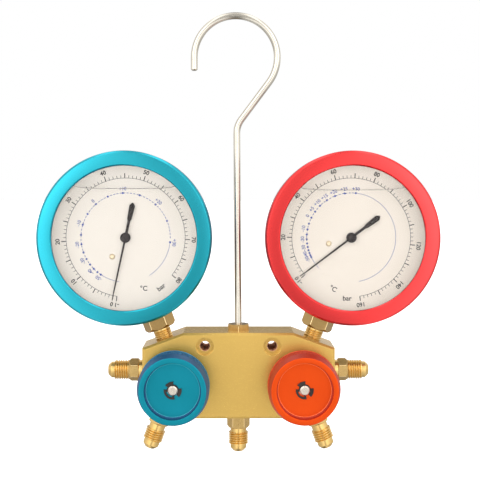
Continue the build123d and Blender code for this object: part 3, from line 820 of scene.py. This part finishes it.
def addWheel(prefix, colour):
    node = prefix + "_valve_knob"
    low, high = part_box(node)
    radius = (high.x - low.x) / 2 / mm
    depth = (high.y - low.y) / mm
    bandLow = wheel["bandFront"]
    bandHigh = depth - wheel["bandBack"]
    band = evenly(bandLow + knurl["ends"], bandHigh - knurl["ends"], knurl["step"])
    hollow = [(across, depth - inward, fillet) for across, inward, fillet in wheel["hollow"]]
    back = [(radius, bandHigh), (radius, depth, wheel["backFillet"]), *hollow, *wheel["hub"]]
    profile = rounded([*wheel["front"], (radius, bandLow)], wheel["frontSteps"])
    profile += [(radius, height) for height in band]
    profile += rounded(back, wheel["backSteps"])[:-1]  # its last point is the first one again
    mesh = lathe(profile, wheel["segments"], closed=True, shape=knurlShape(radius, bandLow, bandHigh))
    shadeWheel(mesh, radius, bandLow, bandHigh)
    materials = f"knob_{colour} {colour}_side {colour}_edge {colour}_crest"
    piece = addPiece(prefix + "_hand_wheel", mesh, materials, frontPlace(node), wheel["sharp"])
    mounted(piece, prefix + "_valve_spindle", "knob_" + colour, node)


addWheel("low", "teal")
addWheel("high", "orange")
print("hand wheels knurled")


# gauges

bezel = {
    # corners as (radius, depth, fillet), depths back from the bezel's front; the rim's are measured inward
    # from the outside instead, and its face falls away a little
    "opening": [(40.4, 2.6, 0.1), (40.4, 0.7, 0.3), (41.1, 0.0, 0.3)],
    "rim": [(1.2, 0.22, 0.3), (0.0, 1.42, 0.5), (0.0, 12.6, 0.6)],
    "back": [(46.4, 12.6, 0.1), (46.4, 8.7), (44.1, 8.7), (44.1, 2.6)],
    "filletSteps": 6,
    "segments": 256,
    "steep": 0.6,  # walls point less to the front than this
}
window = {
    "pane": [(0, 2.6), (44.0, 2.6, 0.3), (44.0, 6.6, 0.2), (0, 6.6)],
    "filletSteps": 3,
    "segments": 192,
}


def gaugePlace(prefix):
    centre = boxCentre(prefix + "_gauge_window")
    return Matrix.Translation((centre.x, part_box(prefix + "_gauge_bezel")[0].y, centre.z))


def addBezel(prefix, colour):
    node = prefix + "_gauge_bezel"
    low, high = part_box(node)
    radius = (high.x - low.x) / 2 / mm
    rim = [(radius - inward, depth, fillet) for inward, depth, fillet in bezel["rim"]]
    profile = rounded([*bezel["opening"], *rim, *bezel["back"]], bezel["filletSteps"], closed=True)
    mesh = lathe(profile, bezel["segments"], closed=True)
    # walls take the darker side look, painted shade
    for face in mesh.faces:
        if abs(face.normal.z) < bezel["steep"]:
            face.material_index = 1
    place = gaugePlace(prefix) @ facing
    piece = addPiece(prefix + "_bezel_ring", mesh, f"bezel_{colour} {colour}_side", place)
    mounted(piece, "manifold", "bezel_" + colour, node)


def addWindow(prefix):
    mesh = lathe(rounded(window["pane"], window["filletSteps"]), window["segments"])
    piece = addPiece(prefix + "_window_pane", mesh, "window_glass", gaugePlace(prefix) @ facing)
    piece.visible_shadow = False
    mounted(piece, "manifold", "window_glass", prefix + "_gauge_window")


liquid = {
    "radius": 42.2,
    "front": 6.65,
    "back": 11.44,
    "levels": {"low": 27.3, "high": 26.5},  # above the dial's centre
    "creep": 0.5,  # how far it climbs glass and dial
    "creepLength": 0.5,
    "wallCreep": 3.4,  # and how far it climbs the case wall
    "wallLength": 4.5,
    "columns": 240,
    "layers": 12,
    "weld": 0.0005,
    "sharp": 50.0,
}


def addLiquid(prefix):
    radius = liquid["radius"]
    front = liquid["front"]
    back = liquid["back"]
    columns = liquid["columns"]
    layers = liquid["layers"]
    level = liquid["levels"][prefix]
    halfChord = math.sqrt(radius ** 2 - level ** 2)
    mesh = bmesh.new()
    tops = []
    bottoms = []
    for column in range(columns + 1):
        x = -radius * math.cos(math.pi * column / columns)
        rim = math.sqrt(max(0.0, radius ** 2 - x * x))
        topRow = []
        bottomRow = []
        for layer in range(layers + 1):
            depth = front + (back - front) * (0.5 - 0.5 * math.cos(math.pi * layer / layers))
            near = min(depth - front, back - depth)
            wall = max(0.0, halfChord - abs(x))
            climb = liquid["creep"] * math.exp(-near / liquid["creepLength"])
            climb += liquid["wallCreep"] * math.exp(-wall / liquid["wallLength"])
            top = min(rim, level + climb)
            topRow.append(mesh.verts.new((x * mm, depth * mm, top * mm)))
            bottomRow.append(mesh.verts.new((x * mm, depth * mm, -rim * mm)))
        tops.append(topRow)
        bottoms.append(bottomRow)
    for column in range(columns):
        for layer in range(layers):
            mesh.faces.new([tops[column][layer], tops[column + 1][layer],
                            tops[column + 1][layer + 1], tops[column][layer + 1]])
            mesh.faces.new([bottoms[column][layer], bottoms[column][layer + 1],
                            bottoms[column + 1][layer + 1], bottoms[column + 1][layer]])
        for layer in (0, layers):
            mesh.faces.new([tops[column][layer], tops[column + 1][layer],
                            bottoms[column + 1][layer], bottoms[column][layer]])
    # at the far left and right the top and bottom rows fall together
    bmesh.ops.remove_doubles(mesh, verts=mesh.verts, dist=liquid["weld"] * mm)
    bmesh.ops.dissolve_degenerate(mesh, edges=mesh.edges, dist=liquid["weld"] * mm)
    bmesh.ops.recalc_face_normals(mesh, faces=mesh.faces)
    piece = addPiece(prefix + "_glycerine_fill", mesh, "clear_liquid", gaugePlace(prefix), liquid["sharp"])
    piece.visible_shadow = False
    mounted(piece, "manifold", "window_glass")


# dial printing: angles run clockwise from straight down, as the reader sees them

dials = {
    "low": {
        "zero": 12.2, "perBar": 3.71, "first": -1, "last": 80, "minor": 1, "major": 5, "label": 10,
        "plain": (("0", 12.1), ("-1", 7.8)),
        "warm": (-50, -40, -30, -20, -10, 0, 10, 20, 30), "dots": range(-50, 35, 5), "tail": (8.0, 328.0),
        "units": (("°C", 10.1, -28.7, 0.0), ("bar", 19.9, -28.0, 38.0)),
    },
    "high": {
        "zero": 52.9, "perBar": 1.867, "first": -1, "last": 160, "minor": 2, "major": 10, "label": 20,
        "plain": (("0", 53.1), ("-1", 49.3)),
        "warm": (-50, -40, -30, -20, -10, 0, 5, 10, 15, 20, 25, 30), "dots": range(-50, 35, 5),
        "tail": (46.0, 350.0),
        "units": (("°C", -10.2, -28.9, -28.0), ("bar", -2.25, -34.35, 0.0)),
    },
}
printing = {
    "depth": 11.5,  # of the dial, back from the bezel's front
    "thick": 0.03,
    "sunk": 0.01,  # into the dial
    "arcRadius": 33.4,
    "arcWidth": 0.24,
    "arcStep": 1.5,
    "minorEnd": 34.95,
    "minorWidth": 0.29,
    "majorEnd": 36.15,
    "majorWidth": 0.5,
    "numeralRadius": 38.15,
    "numeralSize": 3.3,
    "unitSize": 3.3 * 1.15,
    "boldness": 0.075,
    "weld": 0.002,
    "curveSteps": 4,
    "blueRadius": 25.05,
    "blueWidth": 0.38,
    "blueTail": 0.6,  # share of that width in the plain ends of the line
    "blueDot": 0.6,
    "dotRise": 0.004,  # dots stand over the line they are on
    "dotSides": 16,
    "blueLabelRadius": 27.35,
    "blueLabelSize": 2.7,
    "dash": 1.9,
    "dashShare": 0.55,
}
vapour = {
    # saturation pressure of a common refrigerant, absolute, and how steeply it rises
    "bar": 6.83,
    "celsius": -50.0,
    "steepness": 1993.0,
    "absoluteZero": -273.15,
    "atmosphere": 1.013,
}


def onDial(radius, angle):
    turn = math.radians(angle)
    return -radius * math.sin(turn), -radius * math.cos(turn)


def inkTick(angle, inner, outer, width):
    turn = math.radians(angle)
    across = (math.cos(turn) * width / 2, -math.sin(turn) * width / 2)
    corners = []
    for radius, side in ((inner, -1), (outer, -1), (outer, 1), (inner, 1)):
        x, y = onDial(radius, angle)
        corners.append((x + side * across[0], y + side * across[1]))
    return prism(corners, -printing["sunk"], printing["thick"])


def inkArc(radius, width, start, end):
    steps = max(2, round(abs(end - start) / printing["arcStep"]))
    angles = [start + (end - start) * n / steps for n in range(steps + 1)]
    outline = [onDial(radius + width / 2, a) for a in angles]
    outline += [onDial(radius - width / 2, a) for a in reversed(angles)]
    mesh = bmesh.new()
    rows = []
    for height in (-printing["sunk"], printing["thick"]):
        rows.append([mesh.verts.new((x * mm, y * mm, height * mm)) for x, y in outline])
    count = len(angles)
    for row in rows:
        for n in range(count - 1):
            mesh.faces.new([row[n], row[n + 1], row[2 * count - 2 - n], row[2 * count - 1 - n]])
    for n in range(2 * count):
        after = (n + 1) % (2 * count)
        mesh.faces.new([rows[0][n], rows[0][after], rows[1][after], rows[1][n]])
    bmesh.ops.recalc_face_normals(mesh, faces=mesh.faces)
    return mesh


def inkDot(radius, angle, size):
    x, y = onDial(radius, angle)
    turns = [2 * math.pi * n / printing["dotSides"] for n in range(printing["dotSides"])]
    outline = [(x + size * math.cos(turn), y + size * math.sin(turn)) for turn in turns]
    return prism(outline, -printing["sunk"], printing["thick"] + printing["dotRise"])


def inkText(words, x, y, size, turn, boldness):
    curve = bpy.data.curves.new("words", "FONT")
    curve.body = words
    curve.size = size * mm
    curve.align_x = "CENTER"
    curve.align_y = "CENTER"
    curve.offset = boldness * mm
    curve.extrude = printing["thick"] / 2 * mm
    curve.resolution_u = printing["curveSteps"]
    holder = bpy.data.objects.new("words", curve)
    scene.collection.objects.link(holder)
    shown = holder.evaluated_get(bpy.context.evaluated_depsgraph_get())
    data = bpy.data.meshes.new_from_object(shown)
    place = Matrix.Translation((x * mm, y * mm, printing["thick"] / 2 * mm))
    data.transform(place @ Matrix.Rotation(math.radians(turn), 4, "Z"))
    mesh = bmesh.new()
    mesh.from_mesh(data)
    bmesh.ops.remove_doubles(mesh, verts=mesh.verts, dist=printing["weld"] * mm)
    bpy.data.objects.remove(holder)
    bpy.data.meshes.remove(data)
    return mesh


def inkNumeral(words, angle, radius, size, boldness):
    x, y = onDial(radius, angle)
    return inkText(words, x, y, size, 180 - angle, boldness)


def pressureAt(celsius):
    base = vapour["celsius"] - vapour["absoluteZero"]
    rise = 1 / base - 1 / (celsius - vapour["absoluteZero"])
    return vapour["bar"] * math.exp(vapour["steepness"] * rise) - vapour["atmosphere"]


def pressureScale(dial, angleOf):
    p = printing
    black = [inkArc(p["arcRadius"], p["arcWidth"], angleOf(dial["first"]), angleOf(dial["last"]))]
    for bar in [dial["first"], *range(0, dial["last"] + 1, dial["minor"])]:
        heavy = bar % dial["major"] == 0 or bar == dial["first"]
        outer = p["majorEnd"] if heavy else p["minorEnd"]
        width = p["majorWidth"] if heavy else p["minorWidth"]
        black.append(inkTick(angleOf(bar), p["arcRadius"], outer, width))
    numerals = [(str(bar), angleOf(bar)) for bar in range(dial["label"], dial["last"] + 1, dial["label"])]
    for words, angle in (*numerals, *dial["plain"]):
        black.append(inkNumeral(words, angle, p["numeralRadius"], p["numeralSize"], p["boldness"]))
    for words, x, y, turn in dial["units"]:
        black.append(inkText(words, x, y, p["unitSize"], turn, p["boldness"]))
    return joined(*black)


def temperatureScale(dial, angleOf):
    p = printing
    start = angleOf(pressureAt(min(dial["warm"])))
    end = angleOf(pressureAt(max(dial["warm"])))
    step = math.degrees(p["dash"] / p["blueRadius"])
    blue = []
    for n in range(int((end - start) / step)):
        dashEnd = start + (n + p["dashShare"]) * step
        blue.append(inkArc(p["blueRadius"], p["blueWidth"], start + n * step, dashEnd))
    blue.append(inkArc(p["blueRadius"], p["blueWidth"] * p["blueTail"], dial["tail"][0], start))
    blue.append(inkArc(p["blueRadius"], p["blueWidth"] * p["blueTail"], end, dial["tail"][1]))
    for celsius in dial["dots"]:
        blue.append(inkDot(p["blueRadius"], angleOf(pressureAt(celsius)), p["blueDot"]))
    for celsius in dial["warm"]:
        words = f"+{celsius}" if celsius > 0 else str(celsius)
        blue.append(inkNumeral(words, angleOf(pressureAt(celsius)), p["blueLabelRadius"], p["blueLabelSize"],
                               p["boldness"] / 2))
    return joined(*blue)


def printDial(prefix):
    dial = dials[prefix]

    def angleOf(bar):
        return dial["zero"] + dial["perBar"] * bar

    place = gaugePlace(prefix) @ Matrix.Translation((0, printing["depth"] * mm, 0)) @ reading
    for name, mesh, material in (("scale_print", pressureScale(dial, angleOf), "scale_ink"),
                                 ("celsius_print", temperatureScale(dial, angleOf), "blue_ink")):
        piece = addPiece(f"{prefix}_{name}", mesh, material, place)
        mounted(piece, "manifold", "pointer_black")


pointer = {
    "depth": (9.65, 10.1),
    "needle": [(0, 0.56), (30.0, 0.36), (35.6, 0.12)],  # along, half width
    "neck": [(0, 0.75), (9.9, 0.75), (10.4, 1.2), (18.4, 1.6), (20.0, 0.3)],
    # the hub with its pin, as (radius, height, fillet)
    "hub": [(0, -8.45), (0.55, -8.45), (0.75, -8.35, 0.1), (2.35, -8.35, 0.3), (2.85, -8.95, 0.3),
            (2.85, -10.7), (0, -10.7)],
    "segments": 64,
}


def addPointer(prefix):
    outline = [(x, y) for x, y in pointer["needle"]] + [(x, -y) for x, y in reversed(pointer["needle"])]
    tail = [(-x, -y) for x, y in pointer["neck"]] + [(-x, y) for x, y in reversed(pointer["neck"])]
    front, back = pointer["depth"]
    spin = Matrix.Rotation(math.radians(-90 - dials[prefix]["zero"]), 3, "Z")
    needle = joined(prism(outline, -back, -front), prism(tail, -back, -front))
    bmesh.ops.rotate(needle, verts=needle.verts, cent=(0, 0, 0), matrix=spin)
    hub = lathe(rounded(pointer["hub"]), pointer["segments"])
    place = gaugePlace(prefix) @ reading
    piece = addPiece(prefix + "_pointer_blade", joined(needle, hub), "pointer_black", place)
    mounted(piece, prefix + "_gauge_hand", "pointer_black", prefix + "_gauge_pointer")


dialScrew = {
    "head": [(0, 0.0), (1.0, 0.02, 0.8), (1.62, 0.75, 0.2), (1.62, 0.8), (0, 0.8)],
    "filletSteps": 6,
    "segments": 48,
}


def addDialScrew(prefix):
    node = prefix + "_gauge_dial_screw"
    head = lathe(rounded(dialScrew["head"], dialScrew["filletSteps"]), dialScrew["segments"])
    piece = addPiece(prefix + "_dial_screw_head", head, "screw_brass", frontPlace(node))
    mounted(piece, "manifold", "brass_inner", node)


socket = {
    # corners as (radius, height, fillet) along the leaning axis, heights from the gauge's centre
    "shank": [(0, -69.6), (4.7, -69.6), (4.8, -68.6), (4.82, -61.65)],
    "neckRadius": 5.14,
    "neck": (-61.6, -57.2),
    "top": [(4.79, -57.15), (4.79, -56.3, 0.2), (5.9, -56.0, 0.1), (5.9, -55.5), (7.0, -45.1), (7.0, -42.6),
            (0, -42.6)],
    "thread": (-68.6, -57.2),
    "threadDepth": 0.42,
    "threadStep": 0.08,
    "pitch": 1.25,
    "grooveSharpness": 1.5,
    "fade": 0.4,
    "nut": {"flats": 16.0, "low": -56.0, "high": -45.2, "turn": 0, "cones": (1.6, 0.0), "soft": 0.4},
    "axisDepth": 21.0,  # back from the bezel's front
    "segments": 120,
}
carrier = {
    # the block inside the case that holds the movement; depths from the axis
    "width": 14.0,
    "front": -3.0,
    "back": 6.6,
    "heights": (-42.6, -22.5),
    "soft": 0.3,
    "softSegments": 2,
}


def carrierMesh():
    half = carrier["width"] / 2
    front = carrier["front"]
    back = carrier["back"]
    mesh = prism([(-half, front), (half, front), (half, back), (-half, back)], *carrier["heights"])
    bmesh.ops.bevel(mesh, geom=mesh.edges, offset=carrier["soft"] * mm, segments=carrier["softSegments"],
                    affect="EDGES")
    return mesh


def addSocket(prefix):
    profile = [*socket["shank"]]
    profile += [(socket["neckRadius"], height) for height in evenly(*socket["neck"], socket["threadStep"])]
    profile += rounded(socket["top"])
    neck = lathe(profile, socket["segments"], shape=threadShape(*socket["thread"], socket))
    mesh = joined(neck, hexMesh(socket["nut"]), carrierMesh())
    # local Z runs away from the block, local Y back from the bezel's front
    lean = Matrix.Rotation(math.radians(slant * sides[prefix]), 4, "Y")
    place = gaugePlace(prefix) @ lean @ Matrix.Translation((0, socket["axisDepth"] * mm, 0))
    piece = addPiece(prefix + "_socket_body", mesh, "turned_brass hex_brass worn_brass", place)
    mounted(piece, "manifold", "brass", prefix + "_gauge_socket")


for prefix, colour in (("low", "blue"), ("high", "red")):
    addBezel(prefix, colour)
    addWindow(prefix)
    addLiquid(prefix)
    printDial(prefix)
    addPointer(prefix)
    addDialScrew(prefix)
    addSocket(prefix)
print("gauges dressed")


# hook bush

bush = {"flats": 12.0, "low": 0.0, "high": 3.5, "turn": 30, "cones": (0.0, 1.0), "soft": 0.25}
bushPlace = Matrix.Translation((0, middleY, blockHigh.z))
bushNut = addPiece("hook_bush_nut", hexMesh(bush), "turned_brass hex_brass worn_brass", bushPlace)
mounted(bushNut, "manifold", "brass", "hook_bush")
print("hook seated")
